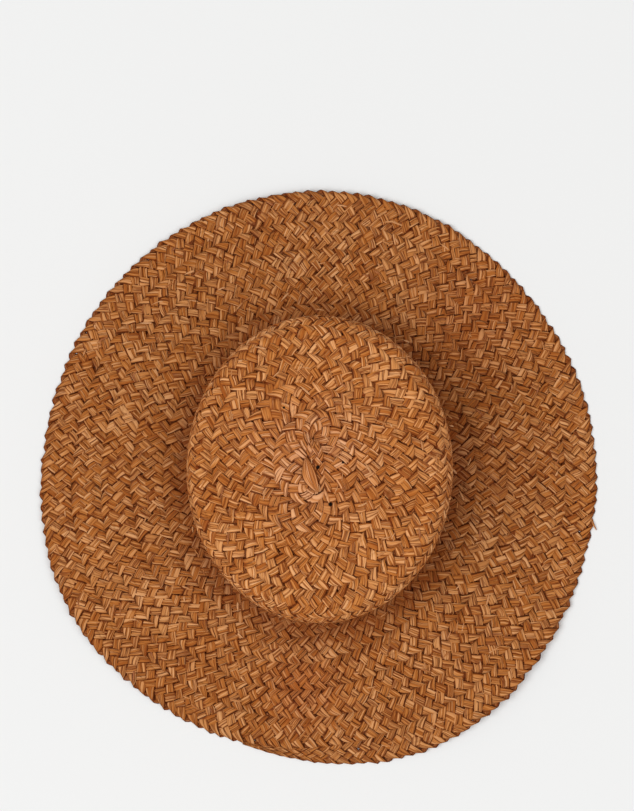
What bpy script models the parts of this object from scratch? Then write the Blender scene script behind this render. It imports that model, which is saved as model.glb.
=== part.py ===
"""A wide-brimmed straw hat with a flat oval crown, wound from one long plait.

The plait starts at a short straight core in the middle of the tip. Each turn is
sewn to the edge of the last one, over the shoulder, down the side and out along
the brim, and its end runs out at the brim's edge. A turn is thick in its middle
and thin at the seams, so the seams show as a spiral of shallow grooves.

Metres, +Z up, and +Y along the length of the head oval. The origin is under the
middle of the brim, on the surface that the hat rests on.
"""

import math

import bmesh
import bpy
from mathutils import Vector

# Crown, outside sizes at its foot
CROWN_LENGTH = 0.204
CROWN_WIDTH = 0.177
CROWN_HEIGHT = 0.0925
WALL_LEAN = 0.0015
SHOULDER_RADIUS = 0.014
BREAK_RADIUS = 0.008
TIP_DOME = 0.002
CORE_SHIFT_X = -0.0045
CORE_SHIFT_Y = 0.003

# Brim, from the foot of the crown's wall to the edge
BRIM_WIDTH = 0.1002
BRIM_RISE = 0.015
BRIM_FLAT = 0.012
EDGE_LIFT = 0.009
FLOOR_PRESS = 0.0008

# Plait, thickest in its middle and thinnest at the seam
PLAIT_WIDTH = 0.0202
PLAIT_THICKNESS = 0.0026
SEAM_THICKNESS = 0.0016
PIECE_GAP = 0.0003

# Where the brim's outline reaches out: waves round the edge, as shares of its mean radius
OUTLINE_WAVES = (
    {"repeats": 2, "share": 0.0166, "peak_deg": 104.6},
    {"repeats": 3, "share": 0.0083, "peak_deg": 68.9},
    {"repeats": 4, "share": 0.0086, "peak_deg": 21.5},
    {"repeats": 5, "share": 0.0054, "peak_deg": 359.3},
)

# Where the brim's edge lifts off the floor, as shares of EDGE_LIFT
BRIM_LIFTS = (
    {"peak_deg": 92.0, "half_width_deg": 58.0, "share": 0.75},
    {"peak_deg": 208.0, "half_width_deg": 50.0, "share": 0.55},
    {"peak_deg": 312.0, "half_width_deg": 38.0, "share": 1.0},
)

# Where the seams stray inward from an even spiral on the crown, in turns of the plait
SEAM_WAVES = (
    {"repeats": 1, "turns": 0.41, "peak_deg": 349.0},
    {"repeats": 2, "turns": 0.28, "peak_deg": 76.0},
)
EVEN_TO = 0.05

# The plait's end: on the brim, the seams step in by one turn between these angles
END_FROM_DEG = 245.0
END_TO_DEG = 295.0

# Mesh fineness
COLUMNS = 64
ROWS_PER_TURN = 2
ROWS_PER_TURN_ON_BENDS = 4
NORMAL_STEP = 0.0005
MERGE_DISTANCE = 0.00005
SMALLEST_ROW = 0.0012

STRAW_COLOUR = (0.36, 0.155, 0.052, 1.0)
STRAW_ROUGHNESS = 0.62

# What follows from the sizes above: distances along the straw from the core
HALF_WALL = PLAIT_THICKNESS / 2
OVAL_CORE = (CROWN_LENGTH - CROWN_WIDTH) / 2
FOOT_SPREAD = CROWN_WIDTH / 2 - HALF_WALL
SHOULDER_AT = FOOT_SPREAD - WALL_LEAN - SHOULDER_RADIUS
WALL_AT = SHOULDER_AT + SHOULDER_RADIUS * math.pi / 2
BREAK_AT = WALL_AT + CROWN_HEIGHT - SHOULDER_RADIUS - BREAK_RADIUS
BRIM_AT = BREAK_AT + BREAK_RADIUS * math.pi / 2
BRIM_RUN = BRIM_WIDTH - BREAK_RADIUS
EDGE_AT = BRIM_AT + BRIM_RUN
BRIM_RADIUS = (CROWN_LENGTH + CROWN_WIDTH) / 4 + BRIM_WIDTH
CROWN_TOP = BRIM_RISE + CROWN_HEIGHT


def smooth(share):
    """A share from 0 to 1, eased at both ends."""
    share = min(1.0, max(0.0, share))
    return share * share * (3 - 2 * share)


def wave(row, angle):
    """One row of a table of waves: 1 at its peaks and -1 between them."""
    return math.cos(row["repeats"] * (angle - math.radians(row["peak_deg"])))


def turned(angle, degrees):
    """How far an angle lies from a direction, in degrees from -180 to 180."""
    return (math.degrees(angle) - degrees + 180.0) % 360.0 - 180.0


def crown_ring(spread, angle):
    """The oval ring that lies spread away from the core, which is off the middle of the tip."""
    shift = max(0.0, 1 - spread / SHOULDER_AT)
    across = CORE_SHIFT_X * shift + spread * math.cos(angle)
    along = CORE_SHIFT_Y * shift + (spread + OVAL_CORE) * math.sin(angle)
    return Vector((across, along))


def brim_edge(angle):
    """A point of the brim's outline, seen from above."""
    reach = 1 + sum(row["share"] * wave(row, angle) for row in OUTLINE_WAVES)
    return BRIM_RADIUS * reach * Vector((math.cos(angle), math.sin(angle)))


def brim_height(run, angle):
    """The brim's middle height: it slopes down from the crown, and lies flat on the floor between its lifts."""
    slope = smooth((run - BRIM_AT) / (EDGE_AT - BRIM_FLAT - BRIM_AT))
    edge = HALF_WALL - FLOOR_PRESS
    for lift in BRIM_LIFTS:
        beside = min(1.0, abs(turned(angle, lift["peak_deg"])) / lift["half_width_deg"])
        edge += EDGE_LIFT * lift["share"] * (1 + math.cos(math.pi * beside)) / 2
    return BRIM_RISE + (edge - BRIM_RISE) * slope


def brim_place(run, angle):
    """A point of the brim from above. The turns keep their width at the edge, and give way near the crown."""
    inner = crown_ring(FOOT_SPREAD + BREAK_RADIUS, angle)
    edge = brim_edge(angle)
    width = (edge - inner).length
    inset = EDGE_AT - run
    inset += (width - BRIM_RUN) * (inset / BRIM_RUN) ** 3
    return edge.lerp(inner, inset / width)


def middle(run, angle):
    """The point of the straw's middle surface at a distance along the straw from the core."""
    top = CROWN_TOP - HALF_WALL - TIP_DOME
    if run <= SHOULDER_AT:
        dome = TIP_DOME * (1 - (run / SHOULDER_AT) ** 2)
        return Vector((*crown_ring(run, angle), top + dome))
    if run <= WALL_AT:
        bend = (run - SHOULDER_AT) / SHOULDER_RADIUS
        spread = SHOULDER_AT + SHOULDER_RADIUS * math.sin(bend)
        return Vector((*crown_ring(spread, angle), top - SHOULDER_RADIUS * (1 - math.cos(bend))))
    if run <= BREAK_AT:
        share = (run - WALL_AT) / (BREAK_AT - WALL_AT)
        wall_top = top - SHOULDER_RADIUS
        wall_foot = BRIM_RISE + BREAK_RADIUS
        spread = FOOT_SPREAD - WALL_LEAN * (1 - share)
        return Vector((*crown_ring(spread, angle), wall_top + (wall_foot - wall_top) * share))
    if run <= BRIM_AT:
        bend = (run - BREAK_AT) / BREAK_RADIUS
        spread = FOOT_SPREAD + BREAK_RADIUS * (1 - math.cos(bend))
        return Vector((*crown_ring(spread, angle), BRIM_RISE + BREAK_RADIUS * (1 - math.sin(bend))))
    return Vector((*brim_place(run, angle), brim_height(run, angle)))


def outward(run, angle):
    """The straw's outward normal, from points a small step away, and straight up along the core."""
    if run == 0.0:
        return Vector((0.0, 0.0, 1.0))
    near = min(run, EDGE_AT - NORMAL_STEP)
    turn = NORMAL_STEP / BRIM_RADIUS
    along = middle(near + NORMAL_STEP, angle) - middle(near, angle)
    around = middle(near + NORMAL_STEP, angle + turn) - middle(near + NORMAL_STEP, angle - turn)
    return along.cross(around).normalized()


def seam_step(column, run):
    """How many turns the seams have stepped in at a column, on the crown and near the plait's end on the brim."""
    degrees = 360.0 * column / COLUMNS
    stray = sum(row["turns"] * wave(row, math.radians(degrees)) for row in SEAM_WAVES)
    on_crown = degrees / 360.0 + stray * smooth(run / EVEN_TO)
    at_end = smooth((degrees - END_FROM_DEG) / (END_TO_DEG - END_FROM_DEG))
    on_brim = smooth((run - WALL_AT) / (BRIM_AT - WALL_AT))
    return on_crown + (at_end - on_crown) * on_brim


def plait_thickness(run, column):
    """The straw's thickness: full in the middle of a turn, thin at the seams and along the core."""
    if run == 0.0:
        return SEAM_THICKNESS
    turns = (EDGE_AT - run) / PLAIT_WIDTH - seam_step(column, run)
    across = 2 * (turns - math.floor(turns)) - 1
    return SEAM_THICKNESS + (PLAIT_THICKNESS - SEAM_THICKNESS) * (1 - across * across)


def row_turns():
    """The rows of points, counted in turns in from the brim's edge, and closer on the two bends."""
    rows = []
    turn = -1
    while turn * PLAIT_WIDTH < EDGE_AT:
        furthest = EDGE_AT - turn * PLAIT_WIDTH
        nearest = furthest - 2 * PLAIT_WIDTH
        on_shoulder = furthest > SHOULDER_AT and nearest < WALL_AT
        on_break = furthest > BREAK_AT and nearest < BRIM_AT
        count = ROWS_PER_TURN_ON_BENDS if on_shoulder or on_break else ROWS_PER_TURN
        rows += [turn + part / count for part in range(count)]
        turn += 1
    return rows + [turn]


def side_by_side(first, second):
    """Pairs of row numbers that step down two columns together, by their turns."""
    last = (len(first) - 1, len(second) - 1)
    pairs = [(0, 0)]
    while pairs[-1] != last:
        one, other = pairs[-1]
        next_one = first[one + 1] if one < last[0] else math.inf
        next_other = second[other + 1] if other < last[1] else math.inf
        nearest = min(next_one, next_other) + MERGE_DISTANCE
        pairs.append((one + (next_one <= nearest), other + (next_other <= nearest)))
    return pairs


class Shell:
    """A closed wall of straw, built point by point, where points that meet are one point."""

    def __init__(self, start, end):
        self.start = start
        self.end = end
        self.builder = bmesh.new()
        self.points = {}

    def point(self, place):
        """The mesh point at a place, made when it is first asked for."""
        key = tuple(round(value / MERGE_DISTANCE) for value in place)
        if key not in self.points:
            self.points[key] = self.builder.verts.new(place)
        return self.points[key]

    def face(self, corners):
        """A face through those corners that differ, if three or more do."""
        corners = list(dict.fromkeys(corners))
        if len(corners) > 2 and self.builder.faces.get(corners) is None:
            self.builder.faces.new(corners)

    def column(self, number, rows):
        """The upper and lower points of one column."""
        angle = 2 * math.pi * number / COLUMNS
        upper = []
        lower = []
        for turns in rows:
            nominal = EDGE_AT - turns * PLAIT_WIDTH
            run = nominal - PLAIT_WIDTH * seam_step(number, nominal)
            if run > self.end - SMALLEST_ROW:
                run = self.end
            if run < self.start + SMALLEST_ROW:
                run = self.start
            centre = middle(run, angle)
            offset = outward(run, angle) * plait_thickness(run, number) / 2
            under = centre - offset
            under.z = max(under.z, 0.0)
            upper.append(self.point(centre + offset))
            lower.append(self.point(under))
        return upper, lower

    def fill(self, rows):
        """The upper and lower faces, and the two ends, where the core end closes on itself."""
        columns = [self.column(number, rows) for number in range(COLUMNS)]
        for number in range(COLUMNS):
            after = (number + 1) % COLUMNS
            inward = 1 if after == 0 else 0
            pairs = side_by_side(rows, [turns - inward for turns in rows])
            (upper, lower), (next_upper, next_lower) = columns[number], columns[after]
            for (one, other), (one_in, other_in) in zip(pairs, pairs[1:]):
                self.face((upper[one], next_upper[other], next_upper[other_in], upper[one_in]))
                self.face((lower[one_in], next_lower[other_in], next_lower[other], lower[one]))
            self.face((lower[0], next_lower[0], next_upper[0], upper[0]))
            if self.start > 0:
                self.face((upper[-1], next_upper[-1], next_lower[-1], lower[-1]))


def straw_shell(name, start, end):
    """A smooth-shaded straw wall, from start to end along the straw."""
    shell = Shell(start, end)
    shell.fill(row_turns())
    builder = shell.builder
    bmesh.ops.triangulate(builder, faces=builder.faces)
    bmesh.ops.recalc_face_normals(builder, faces=builder.faces)
    mesh = bpy.data.meshes.new(name)
    builder.to_mesh(mesh)
    builder.free()
    mesh.shade_smooth()
    mesh.set_sharp_from_angle(angle=math.radians(50))
    mesh.materials.append(straw_material(name + "_straw"))
    wall = bpy.data.objects.new(name, mesh)
    bpy.context.scene.collection.objects.link(wall)
    return wall


def straw_material(name):
    """Brown straw: matt, with a little sheen left."""
    material = bpy.data.materials.new(name)
    material.use_nodes = True
    shader = material.node_tree.nodes["Principled BSDF"]
    shader.inputs["Base Color"].default_value = STRAW_COLOUR
    shader.inputs["Roughness"].default_value = STRAW_ROUGHNESS
    shader.inputs["Metallic"].default_value = 0.0
    return material


def outline_middle():
    """The middle of the brim's outline, which the hat is centred on."""
    angles = [2 * math.pi * column / COLUMNS for column in range(COLUMNS)]
    sides = zip(*[brim_edge(angle) for angle in angles])
    return [(min(side) + max(side)) / 2 for side in sides]


def main():
    for old in list(bpy.data.objects):
        bpy.data.objects.remove(old)
    half_gap = PIECE_GAP / 2
    side_from = (SHOULDER_AT + WALL_AT) / 2
    pieces = (
        straw_shell("crown_tip", 0.0, side_from - half_gap),
        straw_shell("crown_side", side_from + half_gap, BRIM_AT - half_gap),
        straw_shell("brim", BRIM_AT + half_gap, EDGE_AT),
    )
    middle_x, middle_y = outline_middle()
    for piece in pieces:
        piece.location = (-middle_x, -middle_y, 0.0)


main()
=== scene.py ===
# %% [markdown]
# # A wide-brimmed straw hat, wound from one long plait
#
# The real hat is a single flat plait of five straw strands, about nine metres
# long. It starts at a short core in the middle of the tip, and each turn is
# sewn to the edge of the last one, over the shoulder, down the side and out
# along the brim.
#
# The scene is made much the same way. A ribbon is wound over the hat's form, one
# repeat of the plait is modelled as a mesh, and Geometry Nodes lay repeat after
# repeat along the ribbon. A bump map alone would be quicker, but the strands
# cast shadows on each other and stand out along the brim's edge, so they are
# real shapes here.

# %% Load the frame
import math

import bmesh
import bpy
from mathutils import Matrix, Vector


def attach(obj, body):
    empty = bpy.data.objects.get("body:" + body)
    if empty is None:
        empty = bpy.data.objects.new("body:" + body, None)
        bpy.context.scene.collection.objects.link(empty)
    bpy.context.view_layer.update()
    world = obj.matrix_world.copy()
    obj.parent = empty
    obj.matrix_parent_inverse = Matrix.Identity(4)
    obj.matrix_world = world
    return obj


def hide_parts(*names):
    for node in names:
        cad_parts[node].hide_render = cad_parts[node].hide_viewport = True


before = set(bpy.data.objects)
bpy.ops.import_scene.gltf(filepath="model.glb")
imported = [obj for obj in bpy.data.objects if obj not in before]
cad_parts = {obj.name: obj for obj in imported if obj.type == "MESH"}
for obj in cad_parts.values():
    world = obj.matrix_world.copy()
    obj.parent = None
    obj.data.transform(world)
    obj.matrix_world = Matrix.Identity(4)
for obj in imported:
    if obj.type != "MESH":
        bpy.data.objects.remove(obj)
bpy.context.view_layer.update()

# %% [markdown]
# ## Sizes
#
# These are the sizes of the solids in the frame, in metres, so that the straw
# lies where the solid walls are. A run is a distance along the straw from the
# core in the middle of the tip.

# %% The crown's and the brim's sizes
CROWN_LENGTH = 0.204
CROWN_WIDTH = 0.177
CROWN_HEIGHT = 0.0925
WALL_LEAN = 0.0015
SHOULDER_RADIUS = 0.014
BREAK_RADIUS = 0.008
TIP_DOME = 0.002
CORE_SHIFT_X = -0.0045
CORE_SHIFT_Y = 0.003
BRIM_WIDTH = 0.1002
BRIM_RISE = 0.015
BRIM_FLAT = 0.012
EDGE_LIFT = 0.009
FLOOR_PRESS = 0.0008
WALL_THICKNESS = 0.0026
OUTLINE_WAVES = (
    {"repeats": 2, "share": 0.0166, "peak_deg": 104.6},
    {"repeats": 3, "share": 0.0083, "peak_deg": 68.9},
    {"repeats": 4, "share": 0.0086, "peak_deg": 21.5},
    {"repeats": 5, "share": 0.0054, "peak_deg": 359.3},
)
BRIM_LIFTS = (
    {"peak_deg": 92.0, "half_width_deg": 58.0, "share": 0.75},
    {"peak_deg": 208.0, "half_width_deg": 50.0, "share": 0.55},
    {"peak_deg": 312.0, "half_width_deg": 38.0, "share": 1.0},
)

# %% Runs that follow from those sizes
HALF_WALL = WALL_THICKNESS / 2
OVAL_CORE = (CROWN_LENGTH - CROWN_WIDTH) / 2
FOOT_SPREAD = CROWN_WIDTH / 2 - HALF_WALL
SHOULDER_AT = FOOT_SPREAD - WALL_LEAN - SHOULDER_RADIUS
WALL_AT = SHOULDER_AT + SHOULDER_RADIUS * math.pi / 2
BREAK_AT = WALL_AT + CROWN_HEIGHT - SHOULDER_RADIUS - BREAK_RADIUS
BRIM_AT = BREAK_AT + BREAK_RADIUS * math.pi / 2
BRIM_RUN = BRIM_WIDTH - BREAK_RADIUS
EDGE_AT = BRIM_AT + BRIM_RUN
BRIM_RADIUS = (CROWN_LENGTH + CROWN_WIDTH) / 4 + BRIM_WIDTH
CROWN_TOP = BRIM_RISE + CROWN_HEIGHT
print("straw from core to edge:", round(EDGE_AT, 4))

# %% [markdown]
# ## The hat's form
#
# The form is a set of oval rings round the core. A ring grows across the tip,
# turns over the shoulder, goes down the side, turns out at the foot, and then
# widens over the brim to the brim's own wavy outline. Given a run and an angle,
# one function returns the point of the straw's middle surface, and another its
# outward direction.


# %% Rings of the crown
def smooth(share):
    """A share from 0 to 1, eased at both ends."""
    share = min(1.0, max(0.0, share))
    return share * share * (3 - 2 * share)


def wave(row, angle):
    """One row of a table of waves: 1 at its peaks and -1 between them."""
    return math.cos(row["repeats"] * (angle - math.radians(row["peak_deg"])))


def crown_ring(spread, angle):
    """The oval ring that lies spread away from the core."""
    shift = max(0.0, 1 - spread / SHOULDER_AT)
    across = CORE_SHIFT_X * shift + spread * math.cos(angle)
    along = CORE_SHIFT_Y * shift + (spread + OVAL_CORE) * math.sin(angle)
    return Vector((across, along))


# %% The brim's outline and its height
def brim_edge(angle):
    """A point of the brim's outline, seen from above."""
    reach = 1 + sum(row["share"] * wave(row, angle) for row in OUTLINE_WAVES)
    return BRIM_RADIUS * reach * Vector((math.cos(angle), math.sin(angle)))


def brim_height(run, angle):
    """The brim's middle height: down from the crown, then flat on the floor between its lifts."""
    slope = smooth((run - BRIM_AT) / (EDGE_AT - BRIM_FLAT - BRIM_AT))
    edge = HALF_WALL - FLOOR_PRESS
    for lift in BRIM_LIFTS:
        turned = (math.degrees(angle) - lift["peak_deg"] + 180.0) % 360.0 - 180.0
        beside = min(1.0, abs(turned) / lift["half_width_deg"])
        edge += EDGE_LIFT * lift["share"] * (1 + math.cos(math.pi * beside)) / 2
    return BRIM_RISE + (edge - BRIM_RISE) * slope


def brim_place(run, angle):
    """A point of the brim from above. Turns keep their width at the edge, and give way near the crown."""
    inner = crown_ring(FOOT_SPREAD + BREAK_RADIUS, angle)
    edge = brim_edge(angle)
    width = (edge - inner).length
    inset = EDGE_AT - run
    inset += (width - BRIM_RUN) * (inset / BRIM_RUN) ** 3
    return edge.lerp(inner, inset / width)


# %% The whole middle surface
def middle(run, angle):
    """The point of the straw's middle surface at a run and an angle."""
    top = CROWN_TOP - HALF_WALL - TIP_DOME
    if run <= SHOULDER_AT:
        dome = TIP_DOME * (1 - (run / SHOULDER_AT) ** 2)
        return Vector((*crown_ring(run, angle), top + dome))
    if run <= WALL_AT:
        bend = (run - SHOULDER_AT) / SHOULDER_RADIUS
        spread = SHOULDER_AT + SHOULDER_RADIUS * math.sin(bend)
        return Vector((*crown_ring(spread, angle), top - SHOULDER_RADIUS * (1 - math.cos(bend))))
    if run <= BREAK_AT:
        share = (run - WALL_AT) / (BREAK_AT - WALL_AT)
        wall_top = top - SHOULDER_RADIUS
        wall_foot = BRIM_RISE + BREAK_RADIUS
        spread = FOOT_SPREAD - WALL_LEAN * (1 - share)
        return Vector((*crown_ring(spread, angle), wall_top + (wall_foot - wall_top) * share))
    if run <= BRIM_AT:
        bend = (run - BREAK_AT) / BREAK_RADIUS
        spread = FOOT_SPREAD + BREAK_RADIUS * (1 - math.cos(bend))
        return Vector((*crown_ring(spread, angle), BRIM_RISE + BREAK_RADIUS * (1 - math.sin(bend))))
    return Vector((*brim_place(run, angle), brim_height(run, angle)))


NORMAL_STEP = 0.0005


def outward(run, angle):
    """The straw's outward direction, from points a small step away."""
    turn = NORMAL_STEP / BRIM_RADIUS
    along = middle(run + NORMAL_STEP, angle) - middle(run - NORMAL_STEP, angle)
    around = middle(run, angle + turn) - middle(run, angle - turn)
    return along.cross(around).normalized()


def outline_middle():
    """The middle of the brim's outline, which the hat is centred on."""
    columns = 64
    angles = [2 * math.pi * column / columns for column in range(columns)]
    sides = zip(*[brim_edge(angle) for angle in angles])
    return Vector([(min(side) + max(side)) / 2 for side in sides] + [0.0])


HAT_MIDDLE = outline_middle()
print("hat centred by:", [round(1000 * side, 2) for side in HAT_MIDDLE], "mm")

# %% [markdown]
# ## The winding
#
# Going anticlockwise from the plait's end at the brim's edge, the plait moves
# inward by its own width at each turn. On the brim it does so only near its
# end, so the turns run side by side with the edge. On the crown it strays a
# little, because the hat was sewn by hand. The seam is found by halving the
# span of runs until the turn count fits.

# %% The seam between the turns
PLAIT_WIDTH = 0.0202
SEAM_WAVES = (
    {"repeats": 1, "turns": 0.41, "peak_deg": 349.0},
    {"repeats": 2, "turns": 0.28, "peak_deg": 76.0},
)
EVEN_TO = 0.05
END_FROM_DEG = 245.0
END_TO_DEG = 295.0
HALVINGS = 40


def seam_step(turn, run):
    """How many plait widths the seam has moved in from the edge after that many turns."""
    lap = math.floor(turn)
    degrees = 360.0 * (turn - lap)
    stray = sum(row["turns"] * wave(row, math.radians(degrees)) for row in SEAM_WAVES)
    on_crown = degrees / 360.0 + stray * smooth(run / EVEN_TO)
    at_end = smooth((degrees - END_FROM_DEG) / (END_TO_DEG - END_FROM_DEG))
    on_brim = smooth((run - WALL_AT) / (BRIM_AT - WALL_AT))
    return lap + on_crown + (at_end - on_crown) * on_brim


def even_seam(turn):
    """The seam's run, before the core changes it."""
    low = -EVEN_TO
    high = EDGE_AT + PLAIT_WIDTH
    for _ in range(HALVINGS):
        half = (low + high) / 2
        if (EDGE_AT - half) / PLAIT_WIDTH > seam_step(turn, half):
            low = half
        else:
            high = half
    return low


# %% The seam near the core
CORE_SEAM = (
    {"turn": 11.5, "run": 0.0498},
    {"turn": 11.75, "run": 0.0300},
    {"turn": 12.0, "run": 0.0268},
    {"turn": 12.25, "run": 0.0224},
    {"turn": 12.5, "run": 0.0275},
    {"turn": 12.75, "run": 0.0128},
    {"turn": 13.0, "run": 0.0072},
    {"turn": 13.25, "run": 0.0036},
    {"turn": 13.5, "run": 0.0053},
    {"turn": 13.75, "run": 0.0030},
)


def core_seam(turn):
    """The seam's run in the last turns, where the table gives it, eased from row to row."""
    before = CORE_SEAM[0]
    for after in CORE_SEAM[1:]:
        if turn <= after["turn"]:
            share = smooth((turn - before["turn"]) / (after["turn"] - before["turn"]))
            return before["run"] + (after["run"] - before["run"]) * share
        before = after
    return before["run"]


def seam_run(turn):
    """Where the plait's outer edge lies after that many turns, never past the brim's edge."""
    if turn >= CORE_SEAM[0]["turn"]:
        return core_seam(turn)
    return min(EDGE_AT, even_seam(turn))


for whole in (0, 5, 10, 12, 13):
    print("turn", whole, "seam at run", round(1000 * seam_run(whole), 1), "mm")

# %% [markdown]
# ## The ribbon that guides the plait
#
# The ribbon is a mesh band a little wider than the plait. Each of its points
# knows its place on the flat plait, as a distance along it and a share across
# it, and the outward direction there. At the core the band turns round on
# itself about a pivot and runs up the middle of the tip.

# %% One section across the ribbon
SECTIONS_PER_TURN = 120
START_TURN = -1 + 254.0 / 360.0
END_TURN = 13.17
PIVOT_TURN = 13.62
CORE_TURNS = 26.5
RIBBON_MARGIN = 0.22
RIBBON_COLUMNS = 12
PLAIT_DEPTH = 0.0011
TUCK_FROM_TURN = 13.12
TUCK_DEPTH = 0.0016
TURN_BULGE = 0.0008


def ribbon_section(turn):
    """The points and the outward directions across the ribbon, from its outer to its inner margin."""
    angle = 2 * math.pi * turn
    outer_run = seam_run(turn)
    inner_turn = min(turn + 1, CORE_TURNS - turn, PIVOT_TURN)
    inner_run = seam_run(inner_turn)
    inner_angle = 2 * math.pi * inner_turn
    outer_point = middle(outer_run, angle)
    inner_point = middle(inner_run, inner_angle)
    tuck = TUCK_DEPTH * smooth((turn - TUCK_FROM_TURN) / (END_TURN - TUCK_FROM_TURN))
    section = []
    for column in range(RIBBON_COLUMNS + 1):
        share = column / RIBBON_COLUMNS * (1 + 2 * RIBBON_MARGIN) - RIBBON_MARGIN
        if inner_turn == turn + 1:
            run = outer_run + (inner_run - outer_run) * share
            point = middle(run, angle)
            normal = outward(run, angle)
        else:
            point = outer_point.lerp(inner_point, share)
            normal = Vector((0.0, 0.0, 1.0))
        arch = TURN_BULGE * (0.5 - (2 * min(1.0, max(0.0, share)) - 1) ** 2)
        point += normal * arch
        point.z = max(point.z, PLAIT_DEPTH) - tuck
        section.append((point - HAT_MIDDLE, normal))
    return section


# %% All sections, and how far along the plait each one is
def wind_ribbon():
    """Every section of the ribbon with its turn and its distance along the plait's middle line."""
    count = round((END_TURN - START_TURN) * SECTIONS_PER_TURN)
    sections = []
    distance = 0.0
    before = None
    for number in range(count + 1):
        turn = START_TURN + (END_TURN - START_TURN) * number / count
        section = ribbon_section(turn)
        centre = section[RIBBON_COLUMNS // 2][0]
        if before is not None:
            distance += (centre - before).length
        before = centre
        sections.append({"turn": turn, "distance": distance, "points": section})
    return sections


RIBBON = wind_ribbon()
RIBBON_LENGTH = RIBBON[-1]["distance"]
print("plait length:", round(RIBBON_LENGTH, 3), "m in", len(RIBBON), "sections")


# %% A stretch of the ribbon as a mesh
SPARE_SECTIONS = 2


def put_in_scene(name, data):
    """A new object with that data, linked to the scene."""
    made = bpy.data.objects.new(name, data)
    bpy.context.scene.collection.objects.link(made)
    return made


def ribbon_piece(name, start, end):
    """The ribbon between two distances along the plait, with a few spare sections past each."""
    inside = [number for number, row in enumerate(RIBBON) if start <= row["distance"] <= end]
    first = max(0, inside[0] - SPARE_SECTIONS)
    last = min(len(RIBBON) - 1, inside[-1] + SPARE_SECTIONS)
    rows = RIBBON[first:last + 1]
    width = RIBBON_COLUMNS + 1
    points = [point for row in rows for point, _ in row["points"]]
    normals = [normal for row in rows for _, normal in row["points"]]
    faces = []
    for number in range(len(rows) - 1):
        for column in range(RIBBON_COLUMNS):
            corner = number * width + column
            faces.append((corner, corner + 1, corner + width + 1, corner + width))
    mesh = bpy.data.meshes.new(name)
    mesh.from_pydata(points, [], faces)
    place = mesh.attributes.new("plait_place", "FLOAT_VECTOR", "POINT")
    direction = mesh.attributes.new("outward", "FLOAT_VECTOR", "POINT")
    lengthways = mesh.attributes.new("lengthways", "FLOAT_VECTOR", "POINT")
    origin = rows[0]["distance"]
    length = rows[-1]["distance"] - origin
    for number, normal in enumerate(normals):
        row = rows[number // width]
        share = (number % width) / RIBBON_COLUMNS
        place.data[number].vector = ((row["distance"] - origin) / length, share, 0.0)
        direction.data[number].vector = normal
        before = max(0, number - width)
        after = min(len(points) - 1, number + width)
        lengthways.data[number].vector = (points[after] - points[before]).normalized()
    return put_in_scene(name, mesh), origin, length


# %% [markdown]
# ## One repeat of the plait
#
# In a flat plait of five strands, each strand crosses from one edge to the
# other at about 45 degrees, over one strand and under the next, folds round the edge
# and comes back. After ten crossings it is where it began, so ten crossings of
# all five strands are one repeat. A strand is a leaf folded lengthwise: its
# lower half is whole and a little wider, with its upward face painted dark as
# painted shade, so that it shows as a dark margin between strands, and its upper
# half has split into two strips as it dried. All narrow at the folds,
# which makes the leaf-shaped tips beside each seam.

# %% A strand's path
STRANDS = 5
CROSSINGS = 2 * STRANDS
LEVEL_STEP = PLAIT_WIDTH / STRANDS
FOLD_ROUNDING = 0.42
FOLD_OVERLAP = 0.0009
WEAVE_HEIGHT = 0.00048
WEAVE_BIAS = 0.2
WEAVE_STEEPNESS = 1.6


def fold_distance(level):
    """How many crossings away the nearest fold is, and on which side of the plait it lies."""
    within = level % CROSSINGS
    folds = ((0, -1), (STRANDS, 1), (CROSSINGS, -1))
    return min((abs(within - fold), side) for fold, side in folds)


def across_plait(level):
    """How far a strand is from the plait's middle line, rounded off at the folds."""
    away, side = fold_distance(level)
    half = STRANDS / 2
    rounded = math.hypot(away, FOLD_ROUNDING) - FOLD_ROUNDING
    furthest = math.hypot(half, FOLD_ROUNDING) - FOLD_ROUNDING
    return side * (PLAIT_WIDTH / 2 + FOLD_OVERLAP) * (1 - rounded / furthest)


def over_under(level):
    """A strand's height: up at its over crossings, down at its under ones, and between them at a fold."""
    within = level % CROSSINGS
    if within < 1:
        phase = (within + 1) / 2
    elif within <= STRANDS - 1:
        phase = within
    elif within <= STRANDS + 1:
        phase = STRANDS - 1 + (within - STRANDS + 1) / 2
    elif within <= CROSSINGS - 1:
        phase = within - 1
    else:
        phase = CROSSINGS - 2 + (within - CROSSINGS + 1) / 2
    steep = (math.cos(math.pi * phase) - WEAVE_BIAS) * WEAVE_STEEPNESS
    return WEAVE_HEIGHT * math.sin(math.pi / 2 * max(-1.0, min(1.0, steep)))


# %% The mesh of one repeat
RING_SPREAD = 0.3
STRIP_THICKNESS = 0.0005
STRAND_GAP = -0.0002
FOLD_NARROWING = 0.38
FOLD_REACH = 1.0
FOLD_FLAT = 1.0
FOLD_SLANT = 0.0009
# Painted shade: the lower leaf's upward face and the strips' undersides and edges are painted dark (shade
# 1), so the gaps between strands read dark.
STRIPS = (
    {"name": "lower leaf", "from": -1.0, "to": 1.0, "raised": -0.00022,
     "bevel_up": 0.0, "bevel_down": 0.08, "shade_up": 1.0, "shade_down": 0.0},
    {"name": "left strip", "from": -0.86, "to": 0.05, "raised": 0.00014,
     "bevel_up": 0.11, "bevel_down": 0.0, "shade_up": 0.0, "shade_down": 1.0},
    {"name": "right strip", "from": -0.03, "to": 0.86, "raised": 0.00022,
     "bevel_up": 0.11, "bevel_down": 0.0, "shade_up": 0.0, "shade_down": 1.0},
)
RING_CORNERS = (
    {"end": 0, "side": -1},
    {"end": 0, "side": 1},
    {"end": 1, "side": 1},
    {"end": 1, "side": -1},
)


def ring_levels():
    """The levels of the rings along one repeat, one at each crossing and one at each side of it."""
    levels = []
    for crossing in range(CROSSINGS):
        levels += [crossing, crossing + RING_SPREAD, crossing + 1 - RING_SPREAD]
    return levels + [CROSSINGS]


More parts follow.
